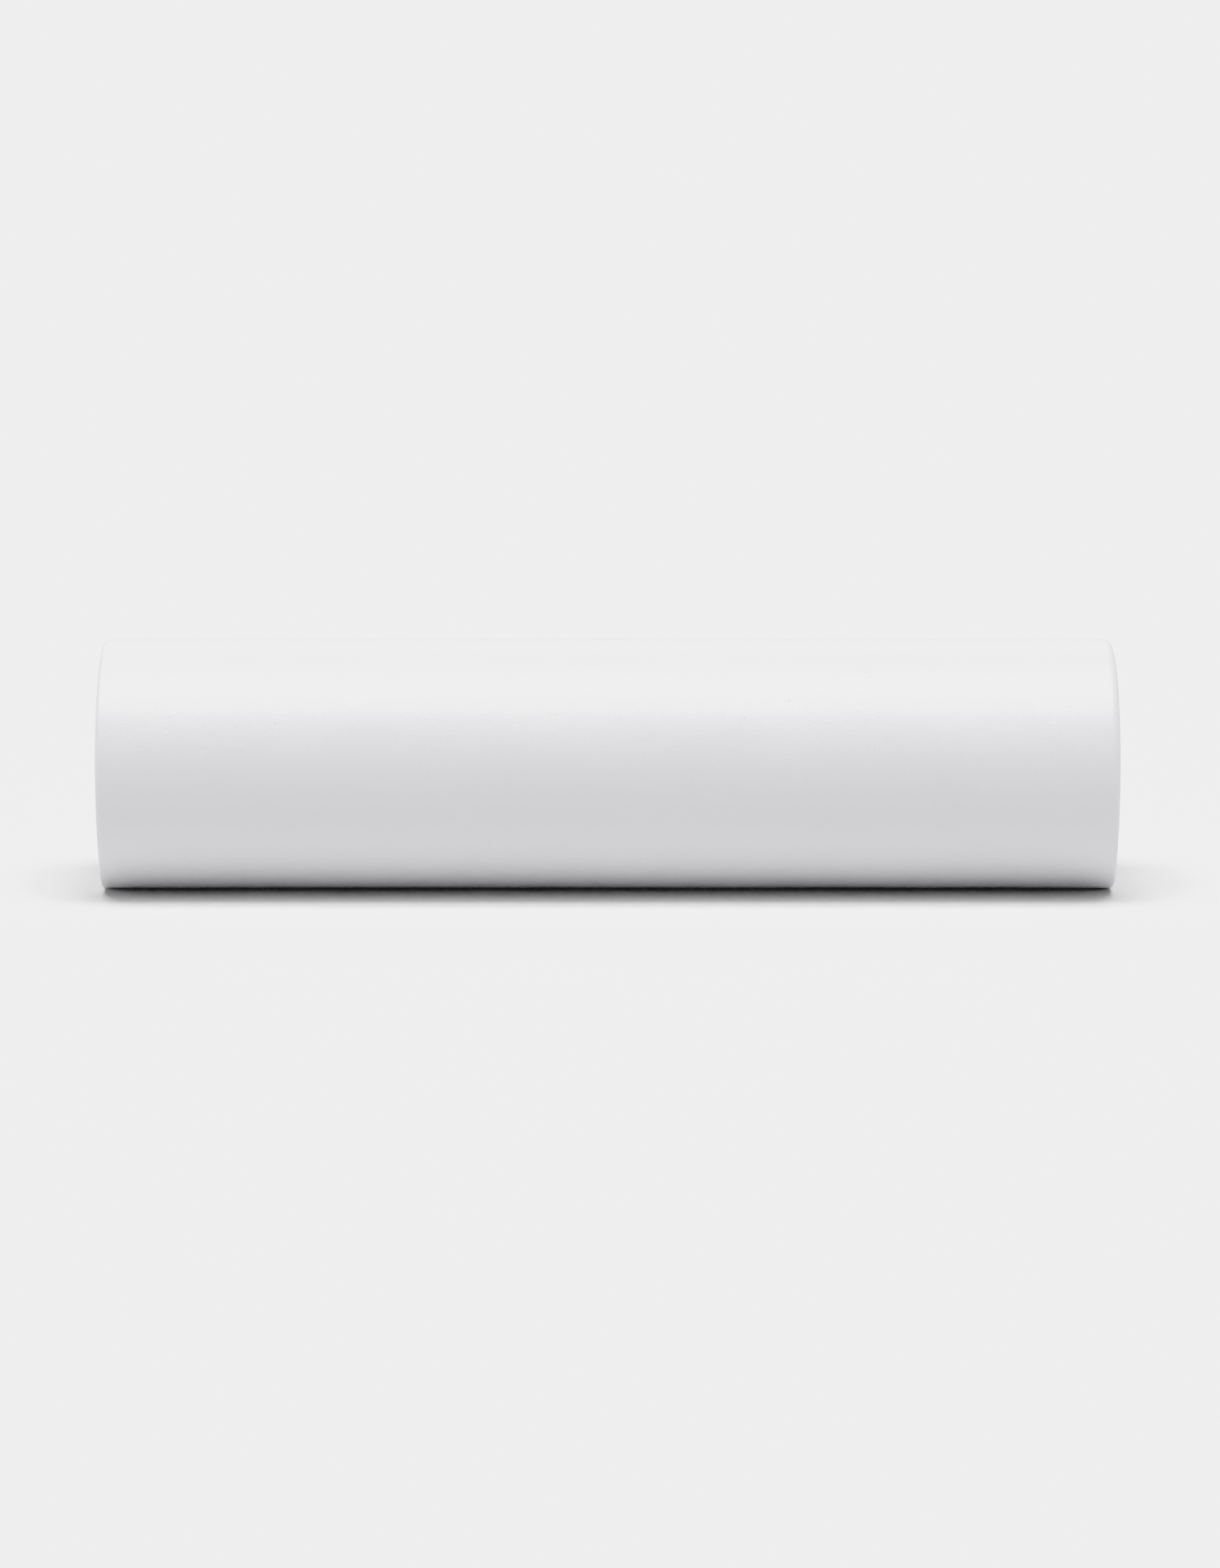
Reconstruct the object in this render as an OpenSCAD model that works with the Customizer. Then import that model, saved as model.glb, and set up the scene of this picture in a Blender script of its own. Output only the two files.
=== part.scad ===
// Smooth foam roller with a hollow core.
// It lies on its side along X, centred on X and Y, and touches the floor at Z = 0.
// A rigid tube carries a moulded foam sleeve, held by an adhesive film. A ring snaps
// into each end of the tube and covers the joint between tube and foam.

/* [Foam sleeve] */
// Outer diameter of the roller
roller_d = 152; // [148:1:160]
// Length of the roller over its end faces
roller_l = 610; // [300:10:910]
// Radius of the rounded outer rims
rim_r = 6; // [4:0.5:7]
// Radius of the rounded foam edge around each end ring
mouth_r = 2; // [1:0.5:2.5]

/* [Core tube] */
// Outer diameter of the rigid tube
core_d = 112; // [104:1:114]
// Inner diameter of the rigid tube
core_bore_d = 104; // [98:1:105]

/* [Adhesive film] */
// Thickness of the film that bonds the sleeve to the tube
film_t = 0.4; // [0.2:0.1:0.6]

/* [End rings] */
// Diameter of the open bore through each ring
ring_bore_d = 98; // [90:1:98]
// Thickness of the flange that covers the end of the tube
flange_t = 2.5; // [2:0.5:3]
// How far the flange reaches over the foam, past the tube
flange_lap = 5; // [4:0.5:6]
// Depth of the flange below the foam's end face
flange_inset = 0.5; // [0:0.1:1]
// Length of the spigot inside the tube
spigot_l = 20; // [18:1:26]
// Number of snap hooks round each ring
hooks = 4; // [3:1:6]

/* [Hidden] */
$fn = 128;

over = 1;               // overshoot that carries a cut past a face
spigot_gap = 0.05;      // sliding clearance between a spigot and the tube
seat_gap = 0.2;         // clearance between a flange and the foam round it
edge_r = 1;             // rounding of a ring's edges
hook_h = 1.8;           // how far a hook stands out of its spigot
hook_w = 9;             // width of a hook round the tube
hook_l = 4;             // length of a hook along the tube
hook_flat = 1;          // length of a hook's full height, before its ramp
hook_x = 10;            // from the tube's end to a hook's catching face
window_gap = 0.2;       // clearance of a hook in its window
slit_w = 1.2;           // width of the slits that free each finger
slit_root = 4;          // unslit length of a spigot next to its flange

roller_r = roller_d / 2;
half_l = roller_l / 2;
core_r = core_d / 2;
core_bore_r = core_bore_d / 2;
foam_bore_r = core_r + film_t;
flange_r = core_r + flange_lap;
seat_r = flange_r + seat_gap;           // recess in the foam that takes the flange
seat_depth = flange_t + flange_inset;
half_core_l = half_l - seat_depth;      // the tube ends under the flanges
spigot_r = core_bore_r - spigot_gap;
ring_bore_r = ring_bore_d / 2;

// Turns a shape made along Z to lie along X, on the roller's own axis.
module on_axis() {
    translate([0, 0, roller_r]) rotate([0, 90, 0]) children();
}

// A shape at the +Z end of the roller, and its mirror image at the other end.
module both_ends() {
    children();
    mirror([0, 0, 1]) children();
}

// Repeats a shape at the place of each snap hook round the tube.
module each_hook() {
    for (i = [0 : hooks - 1]) rotate([0, 0, 45 + i * 360 / hooks]) children();
}

// A cylinder wall with flat ends, centred on the origin.
module plain_tube(outer_r, inner_r, length) {
    difference() {
        cylinder(r = outer_r, h = length, center = true);
        cylinder(r = inner_r, h = length + 2 * over, center = true);
    }
}

// Section of half the foam wall: radius along X, distance from the middle along Y.
module foam_half_section() {
    rim_x = roller_r - rim_r;
    mouth_x = seat_r + mouth_r;
    translate([foam_bore_r, 0]) square([roller_r - foam_bore_r, half_l - rim_r]);
    translate([foam_bore_r, 0]) square([rim_x - foam_bore_r, half_core_l]);
    translate([seat_r, 0]) square([rim_x - seat_r, half_l - mouth_r]);
    translate([mouth_x, 0]) square([rim_x - mouth_x, half_l]);
    translate([mouth_x, half_l - mouth_r]) circle(mouth_r);
    translate([rim_x, half_l - rim_r]) circle(rim_r);
}

module foam_sleeve() {
    color("white") on_axis() rotate_extrude() union() {
        foam_half_section();
        mirror([0, 1]) foam_half_section();
    }
}

module adhesive_film() {
    color("khaki") on_axis() plain_tube(foam_bore_r, core_r, 2 * half_core_l);
}

// A rectangular hole through the tube's wall that a hook snaps into.
module hook_window() {
    width = hook_w + 2 * window_gap;
    length = hook_l + 2 * window_gap;
    translate([core_bore_r - over, -width / 2, half_core_l - hook_x - length + window_gap])
        cube([core_r - core_bore_r + 2 * over, width, length]);
}

module core_tube() {
    color("whitesmoke") on_axis() difference() {
        plain_tube(core_r, core_bore_r, 2 * half_core_l);
        both_ends() each_hook() hook_window();
    }
}

// Section of an end ring, with the tube's end at Y = 0 and the outside at +Y.
module ring_section() {
    flange_w = flange_r - ring_bore_r;
    translate([ring_bore_r, edge_r]) square([flange_w, flange_t - 2 * edge_r]);
    translate([ring_bore_r + edge_r, 0]) square([flange_w - 2 * edge_r, flange_t]);
    for (y = [edge_r, flange_t - edge_r]) translate([flange_r - edge_r, y]) circle(edge_r);
    translate([ring_bore_r + edge_r, flange_t - edge_r]) circle(edge_r);
    translate([ring_bore_r, edge_r - spigot_l])
        square([spigot_r - ring_bore_r, spigot_l]);
    translate([ring_bore_r + edge_r, -spigot_l])
        square([spigot_r - ring_bore_r - 2 * edge_r, spigot_l]);
    for (x = [ring_bore_r, spigot_r - 2 * edge_r])
        translate([x + edge_r, edge_r - spigot_l]) circle(edge_r);
}

// A catch with a square face towards the flange and a ramp on the side that goes in first.
module snap_hook() {
    root = spigot_r - over;
    crest = spigot_r + hook_h;
    rotate([90, 0, 0]) linear_extrude(hook_w, center = true) polygon([
        [root, -hook_x], [crest, -hook_x], [crest, -hook_x - hook_flat], [root, -hook_x - hook_l]
    ]);
}

// The two slits that free one finger of the spigot.
module finger_slits() {
    for (side = [-1, 1])
        translate([ring_bore_r - over, side * (hook_w + slit_w) / 2 - slit_w / 2, -spigot_l - over])
            cube([spigot_r - ring_bore_r + 2 * over, slit_w, spigot_l - slit_root + over]);
}

// An end ring at the +Z end of the roller.
module end_ring() {
    translate([0, 0, half_core_l]) difference() {
        union() {
            rotate_extrude() ring_section();
            each_hook() snap_hook();
        }
        each_hook() finger_slits();
    }
}

module left_end_ring() {
    color("gainsboro") on_axis() mirror([0, 0, 1]) end_ring();
}

module right_end_ring() {
    color("gainsboro") on_axis() end_ring();
}

foam_sleeve();
adhesive_film();
core_tube();
left_end_ring();
right_end_ring();
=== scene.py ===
"""A white foam roller on its side in a pale studio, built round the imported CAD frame."""

import math
import random

import bpy
import numpy as np
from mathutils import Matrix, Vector


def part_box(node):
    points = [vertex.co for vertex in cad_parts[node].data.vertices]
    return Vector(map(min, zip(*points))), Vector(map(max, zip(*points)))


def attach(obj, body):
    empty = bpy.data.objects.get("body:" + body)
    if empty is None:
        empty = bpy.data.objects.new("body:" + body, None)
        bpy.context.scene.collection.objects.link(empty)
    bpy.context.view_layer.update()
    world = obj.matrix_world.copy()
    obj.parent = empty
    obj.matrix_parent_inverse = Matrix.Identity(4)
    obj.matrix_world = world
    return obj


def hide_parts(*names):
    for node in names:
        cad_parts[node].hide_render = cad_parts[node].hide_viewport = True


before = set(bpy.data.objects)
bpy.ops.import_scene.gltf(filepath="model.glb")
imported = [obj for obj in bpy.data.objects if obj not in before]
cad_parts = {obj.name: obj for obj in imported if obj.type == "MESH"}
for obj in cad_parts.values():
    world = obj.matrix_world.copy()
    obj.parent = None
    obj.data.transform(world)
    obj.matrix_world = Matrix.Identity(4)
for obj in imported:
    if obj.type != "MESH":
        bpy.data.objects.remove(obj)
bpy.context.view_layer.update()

MM = 0.001


# ---------------------------------------------------------------- sizes from the frame

def half_height(node):
    """Outer radius of a round CAD node that lies along X."""
    low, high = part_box(node)
    return (high[2] - low[2]) / 2


ROLLER_R = half_height("foam_sleeve")
HALF_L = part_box("foam_sleeve")[1][0]
AXIS_Z = ROLLER_R
BORE_R = half_height("adhesive_film")           # the foam starts at the film
TUBE_END_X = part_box("core_tube")[1][0]
SEAT_GAP = 0.2 * MM                             # between an end ring and the foam round it
SEAT_R = half_height("right_end_ring") + SEAT_GAP


# ---------------------------------------------------------------- foam sleeve: shape

FREE_RIM_R = {-1: 3 * MM, 1: 6 * MM}            # rounding of the left and right outer rims
PRESSED_RIM_R = {-1: 0.6 * MM, 1: 1.8 * MM}     # the same, where the floor presses on them
PRESS_START = math.radians(95)                  # from straight up: the rims begin to sharpen
PRESS_FULL = math.radians(160)
TOE_SPREAD = 1.0 * MM                           # how far the foam squeezes out at the floor's edge
TOE_POWER = 6                                   # a higher power keeps that closer to the floor
SHOULDER_L = 13 * MM                            # the skin sinks gently over this before a rim
SHOULDER_DROP = 0.4 * MM
MOUTH_R = 2 * MM                                # rounding of the foam round an end ring
END_TOLERANCE = 0.01 * MM                       # a point this close to the end is on its flat face

SKIN_STEP = 2.2 * MM                            # mesh spacing along the skin
TURN_STEPS = 240                                # mesh steps round the roller
RIM_STEPS = 10                                  # mesh steps of each part of the outline, inwards
FACE_STEPS = 4
MOUTH_STEPS = 6
SEAT_WALL_STEPS = 1
SEAT_STEPS = 3
BORE_STEPS = 4

RELIEF_FADE = 4 * MM                            # waves, flat and seam are gone this far below the skin
WAVE_COUNT = 26
MOST_ROUND = 7                                  # most waves round the roller
PER_METRE = (1, 14)                             # fewest and most waves in a metre along it
PER_METRE_SHARE = 4                             # this many in a metre lower a wave like one round it
WAVE_HEIGHT = 0.08 * MM                         # root mean square height of the skin's waves
WAVE_TOP = 1.6                                  # in wave heights; the true cylinder is here
WAVE_SEED = 11
FLAT_TURN = math.radians(11)                    # half width of the foam spread by its own weight
FLAT_SPREAD = 0.17 * MM                         # its bulge, before the floor cuts it flat
SEAM_TURN = math.radians(142)                   # the moulding line, low on the far side
SEAM_W = 1.1 * MM
SEAM_DEPTH = 0.28 * MM
SEAM_LINES = (-2.2, -1, -0.5, 0, 0.5, 1, 2.2)   # mesh lines across it, in half widths
SEAM_CLEAR = 3                                  # no other mesh line is nearer, in half widths


def arc(centre_x, centre_r, radius, start, stop, steps):
    """Points of a circular arc in the (x, r) plane; angles in degrees from the +X direction."""
    return [
        (centre_x + radius * math.cos(a), centre_r + radius * math.sin(a))
        for a in np.radians(np.linspace(start, stop, steps + 1))
    ]


def straight(start, stop, steps):
    """Points after start, up to and including stop, on a straight line."""
    return [
        tuple(start[k] + (stop[k] - start[k]) * i / steps for k in (0, 1))
        for i in range(1, steps + 1)
    ]


def smooth(t):
    """A ramp from 0 to 1 that starts and ends level."""
    return t ** 2 * (3 - 2 * t)


def half_outline(rim_r, shoulder_drop):
    """Section of half the foam wall, from the middle of the skin round the end to the bore."""
    flat_end = HALF_L - rim_r
    count = round(HALF_L / SKIN_STEP)
    skin = []
    for i in range(count):
        x = flat_end * i / count
        along_shoulder = max(1 - (flat_end - x) / SHOULDER_L, 0)
        skin.append((x, ROLLER_R - shoulder_drop * along_shoulder ** 2))
    rim = arc(flat_end, ROLLER_R - shoulder_drop - rim_r, rim_r, 90, 0, RIM_STEPS)
    mouth = arc(HALF_L - MOUTH_R, SEAT_R + MOUTH_R, MOUTH_R, 0, -90, MOUTH_STEPS)
    face = straight(rim[-1], mouth[0], FACE_STEPS)[:-1]
    seat_corner = (TUBE_END_X, SEAT_R)
    bore_corner = (TUBE_END_X, BORE_R)
    return (
        skin + rim + face + mouth
        + straight(mouth[-1], seat_corner, SEAT_WALL_STEPS)
        + straight(seat_corner, bore_corner, SEAT_STEPS)
        + straight(bore_corner, (0, BORE_R), BORE_STEPS)[:-1]
    )


def sleeve_outline(rim_r, shoulder_drop):
    """The foam wall's whole closed section: the right half, then the left half back again."""
    right = half_outline(rim_r[1], shoulder_drop)
    left = [(-x, r) for x, r in half_outline(rim_r[-1], shoulder_drop)]
    bore_middle = (0, BORE_R)
    return np.array(right + [bore_middle] + left[:0:-1])


def skin_waves():
    """A smooth random field over the skin, made of cosines that close round the roller."""
    dice = random.Random(WAVE_SEED)
    waves = []
    for _ in range(WAVE_COUNT):
        turns = dice.randint(0, MOST_ROUND)
        per_metre = dice.uniform(*PER_METRE)
        size = 1 / (1 + turns + per_metre / PER_METRE_SHARE)
        waves.append((turns, 2 * math.pi * per_metre, dice.uniform(0, 2 * math.pi), size))
    total = math.sqrt(sum(w[3] ** 2 for w in waves) / 2)

    def height(x, turn):
        return sum(s * np.cos(n * turn + k * x + p) for n, k, p, s in waves) / total

    return height


def sleeve_turns():
    """The angles of the mesh round the roller, from straight up, with extra ones at the seam."""
    even = [2 * math.pi * i / TURN_STEPS for i in range(TURN_STEPS)]
    half = SEAM_W / 2 / ROLLER_R
    near = [SEAM_TURN + half * k for k in SEAM_LINES]
    clear = [a for a in even if abs(a - SEAM_TURN) > SEAM_CLEAR * half]
    return np.array(sorted(clear + near))


def sleeve_points():
    """The sleeve's mesh points, with a skin that wanders a little and rests flat.

    There is a row for each point of the outline and a column for each angle.
    """
    turn = sleeve_turns()
    from_floor = np.abs(turn - math.pi)
    low = np.clip((math.pi - PRESS_START - from_floor) / (PRESS_FULL - PRESS_START), 0, 1)
    press = smooth(low)
    free = sleeve_outline(FREE_RIM_R, SHOULDER_DROP)[:, None, :]
    pressed = sleeve_outline(PRESSED_RIM_R, 0)[:, None, :]
    section = free + (pressed - free) * press[:, None]
    x, r = section[:, :, 0], section[:, :, 1]

    depth = np.clip((ROLLER_R - r) / (ROLLER_R - SEAT_R), 0, 1)
    x = x * (1 + TOE_SPREAD / HALF_L * press ** TOE_POWER * (1 - depth))
    on_skin = np.clip((r - ROLLER_R + RELIEF_FADE) / RELIEF_FADE, 0, 1)
    rest = smooth(np.clip(1 - from_floor / FLAT_TURN, 0, 1))
    waves = np.minimum(skin_waves()(x, turn) - WAVE_TOP, 0) * WAVE_HEIGHT
    seam = SEAM_DEPTH * np.exp(-(((turn - SEAM_TURN) * ROLLER_R / (SEAM_W / 2)) ** 2))
    radius = r + on_skin * (waves * (1 - rest) + rest * FLAT_SPREAD - seam)
    y = radius * np.sin(turn)
    z = np.maximum(AXIS_Z + radius * np.cos(turn), 0)
    return np.stack((x, y, z), axis=-1)


def sleeve_mesh():
    """The foam sleeve as a closed mesh, and which of its faces are on the flat ends."""
    points = sleeve_points()
    rows, columns, _ = points.shape
    i = np.arange(rows)[:, None] * columns
    j = np.arange(columns)[None, :]
    next_i = np.roll(i, -1, axis=0)
    next_j = np.roll(j, -1, axis=1)
    faces = np.stack((i + j, next_i + j, next_i + next_j, i + next_j), axis=-1)
    mesh = bpy.data.meshes.new("foam_skin")
    mesh.from_pydata(points.reshape(-1, 3).tolist(), [], faces.reshape(-1, 4).tolist())

    outline_x = sleeve_outline(FREE_RIM_R, SHOULDER_DROP)[:, 0]
    at_end = np.abs(outline_x) > HALF_L - END_TOLERANCE
    on_end_face = at_end & np.roll(at_end, -1)
    return mesh, np.repeat(on_end_face, columns)


# ---------------------------------------------------------------- materials

SHARP_EDGE = math.radians(35)                   # shading breaks at edges sharper than this
FINER_NOISE = 2                                 # finer layers in every noise
MOTTLE = (0.35, 0.65)                           # the part of a noise that goes between two colours


class Shader:
    """A material with one Principled shader, and short calls that add and join its nodes."""

    def __init__(self, name, **sockets):
        self.material = bpy.data.materials.new(name)
        self.material.use_nodes = True
        self.nodes = self.material.node_tree.nodes
        self.links = self.material.node_tree.links
        self.shader = self.nodes["Principled BSDF"]
        for socket, value in sockets.items():
            self.shader.inputs[socket.replace("_", " ")].default_value = value
        self.place = self.nodes.new("ShaderNodeTexCoord").outputs["Object"]

    def add(self, kind, inputs, **settings):
        """A new node; each input is a number, a colour or another node's output."""
        node = self.nodes.new(kind)
        for name, value in settings.items():
            setattr(node, name, value)
        for socket, value in inputs.items():
            if isinstance(value, bpy.types.NodeSocket):
                self.links.new(value, node.inputs[socket])
            else:
                node.inputs[socket].default_value = value
        return node

    def noise(self, size, stretch=None, warp=0.0):
        """Noise with blobs about size metres wide; warp pulls them into strokes."""
        place = self.place
        if stretch:
            inputs = {0: place, 1: stretch}
            place = self.add("ShaderNodeVectorMath", inputs, operation="MULTIPLY").outputs[0]
        inputs = {"Vector": place, "Scale": 1 / size, "Detail": FINER_NOISE, "Distortion": warp}
        return self.add("ShaderNodeTexNoise", inputs).outputs["Fac"]

    def cells(self, size):
        """Random cells about size metres wide: a colour each, and the distance from their middles."""
        return self.add("ShaderNodeTexVoronoi", {"Vector": self.place, "Scale": 1 / size}).outputs

    def spread(self, value, low, high, to_low, to_high):
        """Maps low..high to to_low..to_high, and stops there."""
        return self.add(
            "ShaderNodeMapRange",
            {"Value": value, "From Min": low, "From Max": high, "To Min": to_low, "To Max": to_high},
        ).outputs["Result"]

    def blend(self, amount, a, b):
        """Colour a where amount is 0, b where it is 1."""
        return self.add("ShaderNodeMix", {0: amount, 6: a, 7: b}, data_type="RGBA").outputs[2]

    def mottle(self, noise, a, b):
        """Colour a where a noise is low, b where it is high."""
        return self.blend(self.spread(noise, *MOTTLE, 0, 1), a, b)

    def maths(self, operation, a, b):
        """One step of arithmetic on two values."""
        return self.add("ShaderNodeMath", {0: a, 1: b}, operation=operation).outputs[0]

    def bump(self, height, depth, below=None):
        """Relief of depth metres where height goes from 0 to 1, on top of another relief."""
        inputs = {"Height": height, "Distance": depth, "Strength": 1.0}
        if below is not None:
            inputs["Normal"] = below
        return self.add("ShaderNodeBump", inputs).outputs["Normal"]

    def drive(self, socket, value):
        """Joins a node's output to one of the shader's sockets."""
        self.links.new(value, self.shader.inputs[socket])


def foam_material():
    """Satin moulded skin of closed-cell foam: cool white, sparse fine grain, a few pinholes with
    painted shade in them.
    """
    whites = ((0.803, 0.798, 0.822, 1), (0.812, 0.808, 0.829, 1))
    # painted shade: the grey and how strongly it darkens the inside of each pinhole
    pinhole_painted_shade = (0.4, 0.4, 0.41, 1)
    pinhole_painted_shade_strength = 0.55
    hole_share = 0.05                           # the part of the cells that has a pinhole
    hole_edge = (0.03, 0.05)                    # its flat bottom and its rim, in cell sizes
    pimple_band = (0.58, 0.7)                   # the peaks of the grain, which stand out
    gloss_band = (0.7, 1.3)
    roughness = (0.36, 0.46)

    m = Shader("white_foam_skin", Specular_IOR_Level=0.6)
    cloud = m.noise(60 * MM)
    peel = m.noise(7 * MM)
    grain = m.noise(2 * MM, warp=1.2)
    pimples = m.spread(grain, *pimple_band, 0, 1)

    cells = m.cells(9 * MM)
    picked = m.add("ShaderNodeSeparateColor", {"Color": cells["Color"]}).outputs[0]
    rare = m.maths("LESS_THAN", picked, hole_share)
    pit = m.spread(cells["Distance"], *hole_edge, 1, 0)
    pinhole = m.maths("MULTIPLY", rare, pit)

    # painted shade inside the pinholes, blended into the base colour
    shade = m.maths("MULTIPLY", pinhole, pinhole_painted_shade_strength)
    m.drive("Base Color", m.blend(shade, m.mottle(cloud, *whites), pinhole_painted_shade))
    m.drive("Roughness", m.spread(m.maths("ADD", cloud, grain), *gloss_band, *roughness))

    relief = m.bump(peel, 0.06 * MM)
    relief = m.bump(pimples, 0.075 * MM, relief)
    m.drive("Normal", m.bump(m.maths("SUBTRACT", 1.0, pinhole), 0.3 * MM, relief))
    return m.material


def foam_end_material():
    """The moulded end faces of the foam: drier than the skin, with its fine closed cells showing and
    painted shade in their hollows.
    """
    whites = ((0.793, 0.789, 0.812, 1), (0.806, 0.802, 0.824, 1))
    # painted shade: the grey and how strongly it darkens the hollow of each cell
    cell_painted_shade = (0.72, 0.715, 0.735, 1)
    cell_painted_shade_strength = 0.3
    cell_edge = (0.1, 0.6)                      # a cell's deepest part and its wall, in cell sizes
    roughness = (0.5, 0.62)

    m = Shader("white_foam_end", Specular_IOR_Level=0.45)
    cloud = m.noise(30 * MM)
    hollow = m.spread(m.cells(2.2 * MM)["Distance"], *cell_edge, 1, 0)
    # painted shade in the cell hollows, blended into the base colour
    shade = m.maths("MULTIPLY", hollow, cell_painted_shade_strength)
    m.drive("Base Color", m.blend(shade, m.mottle(cloud, *whites), cell_painted_shade))
    m.drive("Roughness", m.spread(hollow, 0, 1, *roughness))
    relief = m.bump(cloud, 0.2 * MM)
    m.drive("Normal", m.bump(m.maths("SUBTRACT", 1.0, hollow), 0.12 * MM, relief))
    return m.material


def plastic_material(name, colour, roughness, grain_size, grain_depth, stretch=None):
    """Plastic with a fine grain and slightly uneven gloss; stretch draws both out into lines."""
    darkest = 0.96                              # of the colour, where the plastic is darkest
    gloss_band = (0.3, 0.7)
    smoother, rougher = 0.05, 0.07

    m = Shader(name, Specular_IOR_Level=0.5)
    cloud = m.noise(25 * MM, stretch=stretch)
    grain = m.noise(grain_size, stretch=stretch)
    darker = tuple(c * darkest for c in colour)
    m.drive("Base Color", m.mottle(cloud, (*colour, 1), (*darker, 1)))
    m.drive("Roughness", m.spread(cloud, *gloss_band, roughness - smoother, roughness + rougher))
    m.drive("Normal", m.bump(grain, grain_depth))
    return m.material


def film_material():
    """The adhesive film, sealed between tube and foam: amber, with trapped bubbles."""
    bubble_amber = (0.78, 0.72, 0.56, 1)
    amber = (0.68, 0.6, 0.42, 1)
    bubble_edge = (0.15, 0.5)                   # where a bubble ends and the film begins, in cells

    m = Shader("adhesive_amber", Roughness=0.4)
    film = m.spread(m.cells(4 * MM)["Distance"], *bubble_edge, 0, 1)
    m.drive("Base Color", m.blend(film, bubble_amber, amber))
    m.drive("Normal", m.bump(film, 0.05 * MM))
    return m.material


def dress(obj, *materials):
    """Gives an object its materials and smooth shading that breaks at real edges."""
    obj.data.materials.clear()
    for material in materials:
        obj.data.materials.append(material)
    obj.data.polygons.foreach_set("use_smooth", [True] * len(obj.data.polygons))
    obj.data.set_sharp_from_angle(angle=SHARP_EDGE)
    obj.data.update()


# ---------------------------------------------------------------- pieces

def make_foam_sleeve():
    """The soft foam, which takes the place of its CAD solid."""
    mesh, on_end_face = sleeve_mesh()
    sleeve = bpy.data.objects.new("foam_roller_skin", mesh)
    bpy.context.scene.collection.objects.link(sleeve)
    dress(sleeve, foam_material(), foam_end_material())
    mesh.polygons.foreach_set("material_index", on_end_face.astype(np.int32))
    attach(sleeve, "root")
    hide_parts("foam_sleeve")


def dress_cad_nodes():
    """The hard pieces and the film keep their CAD shapes."""
    ring = plastic_material("ring_plastic", (0.7, 0.7, 0.71), 0.42, 0.6 * MM, 0.02 * MM)
    draw_lines = (0.02, 1, 1)                   # the tube is extruded along X
    tube = plastic_material(
        "tube_plastic", (0.78, 0.78, 0.79), 0.46, 1.4 * MM, 0.006 * MM, draw_lines
    )
    for node, material in (
        ("left_end_ring", ring),
        ("right_end_ring", ring),
        ("core_tube", tube),
        ("adhesive_film", film_material()),
    ):
        dress(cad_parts[node], material)


# ---------------------------------------------------------------- studio

FLOOR_HALF = 400                                # metres, so that it reaches the horizon
PAPER = (0.8, 0.8, 0.8, 1)
HORIZON_GLOW = 1.0                              # as white as the lit floor, so that they merge
SKY = (                                         # (sine of the height above the horizon, level)
    (0.0, HORIZON_GLOW),
    (0.05, 0.3),
    (0.12, 0.15),
    (0.22, 0.0),
    (1.0, 0.0),
)
BACKDROP = (
    (0.0, 0.0),
    (0.12, 0.0),
    (0.22, 0.64),
    (0.36, 0.64),
    (0.52, 0.0),
    (1.0, 0.0),
)
SIDE_GLOW = (
    (0.0, 0.0),
    (0.05, 1.0),
    (0.22, 1.0),
    (0.36, 0.0),
    (1.0, 0.0),
)
# Each is (axis, where on it the glow starts, where it is full, power, levels).
GLOWS = (
    ("Y", 0.0, 0.4, 1.0, BACKDROP),
    ("X", -0.7, -0.95, 0.9, SIDE_GLOW),
    ("X", 0.7, 0.95, 0.6, SIDE_GLOW),
)
LAMPS = ((-50, 0.35), (0, 1.25), (16, 1.6), (32, 0.36))     # (degrees to the front, power)
LAMP_ARC = (-22, -7.5, 7.5, 22)                 # degrees along the roller
LAMP_SOFTNESS = math.radians(14)


def make_floor():
    """A pale paper floor."""
    mesh = bpy.data.meshes.new("studio_floor")
    h = FLOOR_HALF
    mesh.from_pydata([(-h, -h, 0), (h, -h, 0), (h, h, 0), (-h, h, 0)], [], [(0, 1, 2, 3)])
    floor = bpy.data.objects.new("studio_floor", mesh)
    bpy.context.scene.collection.objects.link(floor)
    paper = Shader("pale_paper", Base_Color=PAPER, Roughness=0.9, Specular_IOR_Level=0.0)
    mesh.materials.append(paper.material)


def make_sky():
    """A dark studio that glows low down all round, with a pale backdrop and side reflectors."""
    world = bpy.data.worlds.new("studio_light")
    bpy.context.scene.world = world
    world.use_nodes = True
    nodes, links = world.node_tree.nodes, world.node_tree.links
    way = nodes.new("ShaderNodeTexCoord")
    split = nodes.new("ShaderNodeSeparateXYZ")
    links.new(way.outputs["Generated"], split.inputs[0])

    def glow(stops):
        ramp = nodes.new("ShaderNodeValToRGB")
        links.new(split.outputs["Z"], ramp.inputs[0])
        elements = ramp.color_ramp.elements
        elements[0].position = stops[0][0]
        elements[1].position = stops[-1][0]
        for height, _ in stops[1:-1]:
            elements.new(height)
        for element, (_, level) in zip(elements, stops):
            element.color = (level, level, level, 1)
        return ramp.outputs[0]

    links.new(glow(SKY), nodes["Background"].inputs["Color"])
    total = nodes["Background"].outputs[0]
    for axis, edge, full, power, levels in GLOWS:
        facing = nodes.new("ShaderNodeMapRange")
        facing.inputs["From Min"].default_value = edge
        facing.inputs["From Max"].default_value = full
        facing.inputs["To Max"].default_value = power
        links.new(split.outputs[axis], facing.inputs["Value"])
        panel = nodes.new("ShaderNodeBackground")
        links.new(glow(levels), panel.inputs["Color"])
        links.new(facing.outputs["Result"], panel.inputs["Strength"])
        both = nodes.new("ShaderNodeAddShader")
        links.new(total, both.inputs[0])
        links.new(panel.outputs[0], both.inputs[1])
        total = both.outputs[0]
    links.new(total, nodes["World Output"].inputs["Surface"])


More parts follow.
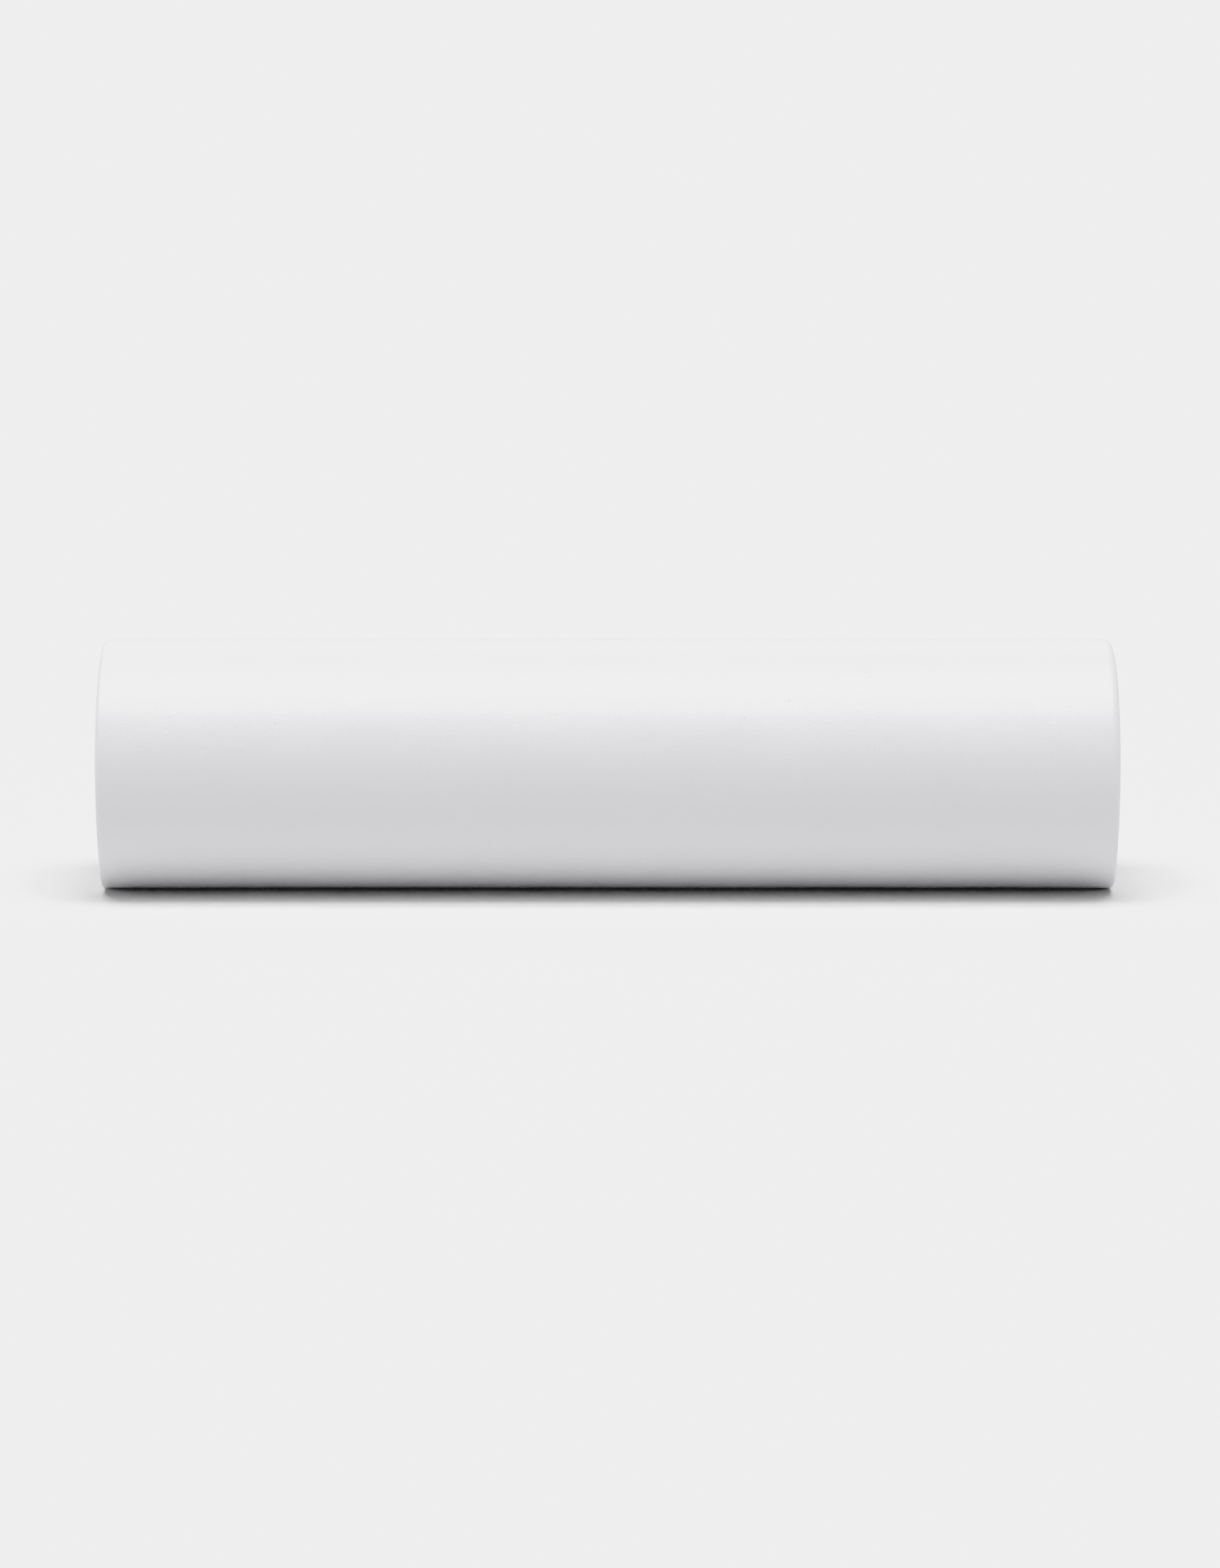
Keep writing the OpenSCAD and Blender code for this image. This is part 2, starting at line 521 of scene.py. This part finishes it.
def make_lamps():
    """Soft lamps high above, in arcs along the roller."""
    for tilt, power in LAMPS:
        for across in LAMP_ARC:
            lamp = bpy.data.lights.new(f"lamp_{tilt}_{across}", "SUN")
            lamp.energy = power / len(LAMP_ARC)
            lamp.angle = LAMP_SOFTNESS
            obj = bpy.data.objects.new(lamp.name, lamp)
            obj.rotation_euler = (math.radians(tilt), math.radians(across), 0)
            bpy.context.scene.collection.objects.link(obj)


# ---------------------------------------------------------------- camera and tone

LENS_MM = 130
SENSOR_MM = 36
FAR_CLIP = 1000                                 # metres, past the edge of the floor
CAMERA_DISTANCE = 3.44
CAMERA_ELEVATION = math.radians(9.0)
AIM = Vector((0.0012, 0, AXIS_Z - 13 * MM))     # the roller sits a little high and left

WHITE_LIMIT = 0.865                             # the brightest white in the finished picture
WHITE_KNEE = 40                                 # how sharply the curve turns level there
GAMMA = 0.75
BLACK_TOE = 0.025                               # light levels under about this go towards black
BRIGHTEST = 2.0                                 # the highest level that the curve covers
COMBINED = 3                                    # the curve for red, green and blue together
CURVE_START = 0.01                              # the first level above black with a curve point
CURVE_POINTS = 14                               # from there up to the knee
KNEE_START = 0.97                               # in parts of the level that reaches WHITE_LIMIT
KNEE_POINTS = (0.985, 1, 1.02)


def make_camera():
    """In front of the roller and a little above, as in the photograph."""
    data = bpy.data.cameras.new("camera")
    data.lens = LENS_MM
    data.sensor_width = SENSOR_MM
    data.clip_end = FAR_CLIP
    camera = bpy.data.objects.new("camera", data)
    bpy.context.scene.collection.objects.link(camera)
    back = Vector((0, -math.cos(CAMERA_ELEVATION), math.sin(CAMERA_ELEVATION)))
    camera.location = AIM + back * CAMERA_DISTANCE
    camera.rotation_mode = "QUATERNION"
    camera.rotation_quaternion = (-back).to_track_quat("-Z", "Y")
    bpy.context.scene.camera = camera


def shown(level):
    """How bright a light level looks: shade a little lifted, and no white above WHITE_LIMIT."""
    kept = level ** 2 / (level ** 2 + BLACK_TOE ** 2)
    lifted = level ** (-GAMMA * WHITE_KNEE)
    return kept * (lifted + WHITE_LIMIT ** -WHITE_KNEE) ** (-1 / WHITE_KNEE)


def expose():
    """Sets the picture's tone curve."""
    view = bpy.context.scene.view_settings
    view.view_transform = "Standard"
    view.use_curve_mapping = True
    curve = view.curve_mapping
    curve.clip_max_x = BRIGHTEST
    tone = curve.curves[COMBINED].points
    tone[0].location = (0, 0)
    tone[1].location = (BRIGHTEST, shown(BRIGHTEST))
    white_at = WHITE_LIMIT ** (1 / GAMMA)
    levels = list(np.geomspace(CURVE_START, KNEE_START * white_at, CURVE_POINTS))
    levels += [part * white_at for part in KNEE_POINTS]
    for level in levels:
        tone.new(level, shown(level))
    curve.update()


make_camera()
make_foam_sleeve()
dress_cad_nodes()
make_floor()
make_sky()
make_lamps()
expose()
